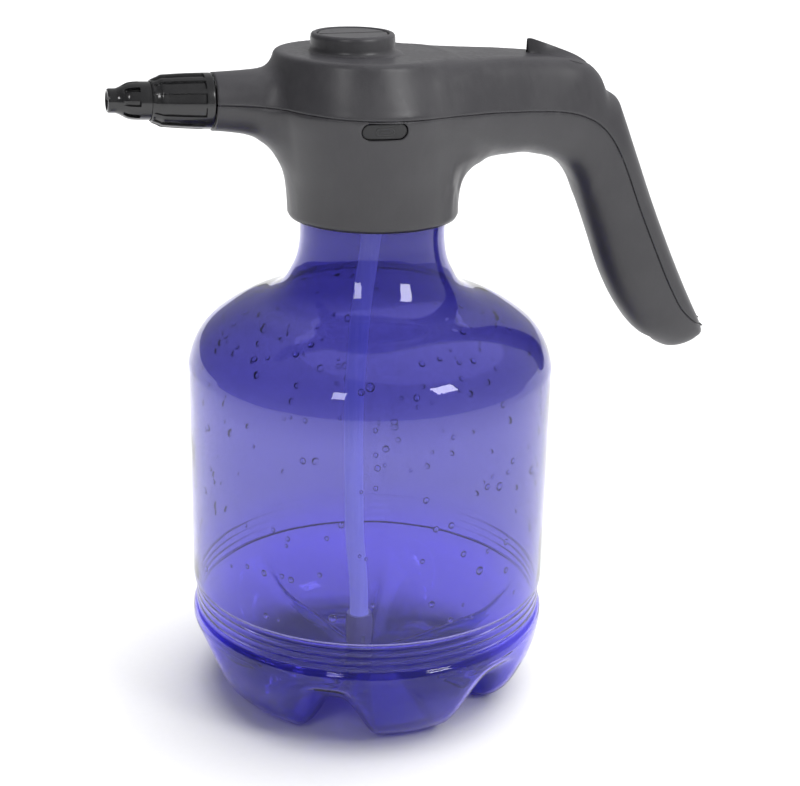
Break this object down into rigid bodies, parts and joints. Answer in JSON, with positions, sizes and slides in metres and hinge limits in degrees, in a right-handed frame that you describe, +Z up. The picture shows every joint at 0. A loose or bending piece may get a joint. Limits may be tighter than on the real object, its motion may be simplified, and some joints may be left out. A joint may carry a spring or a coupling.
{
  "type": "pump sprayer",
  "caption": "Battery-driven hand sprayer: clear footed bottle, screw-on head with power button, angled grip, charging port and adjustable spray nozzle.",
  "frame": {"origin": "centre of the bounding box's underside, on the surface that the feet stand on; the bottle's axis is the vertical line x = -0.02342", "axes": "+Z up along the bottle's axis, +X towards the grip, nozzle towards -X, charging port on the -Y side"},
  "size_m": [0.2572, 0.1506, 0.28],
  "materials": {
    "violet_pet": "clear violet-blue blow-moulded PET, glossy",
    "charcoal_abs": "fine satin texture",
    "black_plastic": "semi-gloss",
    "black_rubber": "matte",
    "milky_tube": "milky, translucent",
    "white_plastic": "satin",
    "steel": "plated",
    "brass": "bare",
    "green_board": "solder mask",
    "cell_wrap": "shrink wrap",
    "red_wire": "insulation",
    "black_wire": "insulation"
  },
  "bodies": {
    "bottle": {"bottle": "violet_pet"},
    "gasket": {"neck_gasket": "black_rubber"},
    "head": {"lower_shell": "charcoal_abs", "upper_shell": "charcoal_abs", "button_spring": "steel", "tact_switch": "black_plastic", "circuit_board": "green_board", "board_screw_1": "steel", "board_screw_2": "steel", "usb_socket": "steel", "charge_board": "green_board", "battery_cell": "cell_wrap", "battery_contact_top": "brass", "battery_contact_end": "brass", "battery_lead_red": "red_wire", "battery_lead_black": "black_wire", "dc_motor": "steel", "pump_housing": "black_plastic", "pump_head": "white_plastic", "pump_bracket": "steel", "pump_screw_1": "steel", "pump_screw_2": "steel", "motor_lead_red": "red_wire", "motor_lead_black": "black_wire", "inlet_fitting": "white_plastic", "air_valve": "black_rubber", "suction_tube": "milky_tube", "strainer_body": "white_plastic", "strainer_cap": "white_plastic", "outlet_hose": "milky_tube", "nozzle_stem": "black_plastic", "swirl_core": "white_plastic", "case_screw_arch": "steel", "case_screw_grip": "steel"},
    "button": {"power_button": "charcoal_abs"},
    "flap": {"port_cover": "black_rubber"},
    "rotor": {"motor_shaft": "steel", "eccentric_cam": "brass"},
    "nozzle_seal": {"nozzle_o_ring": "black_rubber"},
    "nozzle": {"nozzle_sleeve": "black_plastic", "nozzle_tip": "black_plastic"}
  },
  "joints": [
    {"name": "head_rise", "type": "slide", "parent": "bottle", "child": "gasket", "axis": [0, 0, 1], "range_m": [0, 0.008]},
    {"name": "head_turn", "type": "hinge", "parent": "gasket", "child": "head", "pos_m": [-0.02342, 0, 0.2079], "axis": [0, 0, 1], "range_deg": [0, 720]},
    {"name": "button_press", "type": "slide", "parent": "head", "child": "button", "axis": [0, 0, -1], "range_m": [0, 0.002], "stiffness_N_per_m": 400, "springref_m": -0.003, "deforming": ["button_spring"]},
    {"name": "flap_swing", "type": "hinge", "parent": "head", "child": "flap", "pos_m": [-0.02292, -0.03944, 0.2484], "axis": [0, 0, 1], "range_deg": [0, 110]},
    {"name": "motor_spin", "type": "hinge", "parent": "head", "child": "rotor", "pos_m": [0, 0, 0.2485], "axis": [1, 0, 0], "continuous": true},
    {"name": "nozzle_advance", "type": "slide", "parent": "head", "child": "nozzle_seal", "axis": [-0.999, 0, 0.0436], "range_m": [0, 0.0025]},
    {"name": "nozzle_turn", "type": "hinge", "parent": "nozzle_seal", "child": "nozzle", "pos_m": [-0.08842, 0, 0.2556], "axis": [-0.999, 0, 0.0436], "range_deg": [0, 360]}
  ],
  "couplings": [
    {"joint": "head_rise", "follows": "head_turn", "m_per_rad": 0.0006366},
    {"joint": "nozzle_advance", "follows": "nozzle_turn", "m_per_rad": 0.0003978}
  ]
}
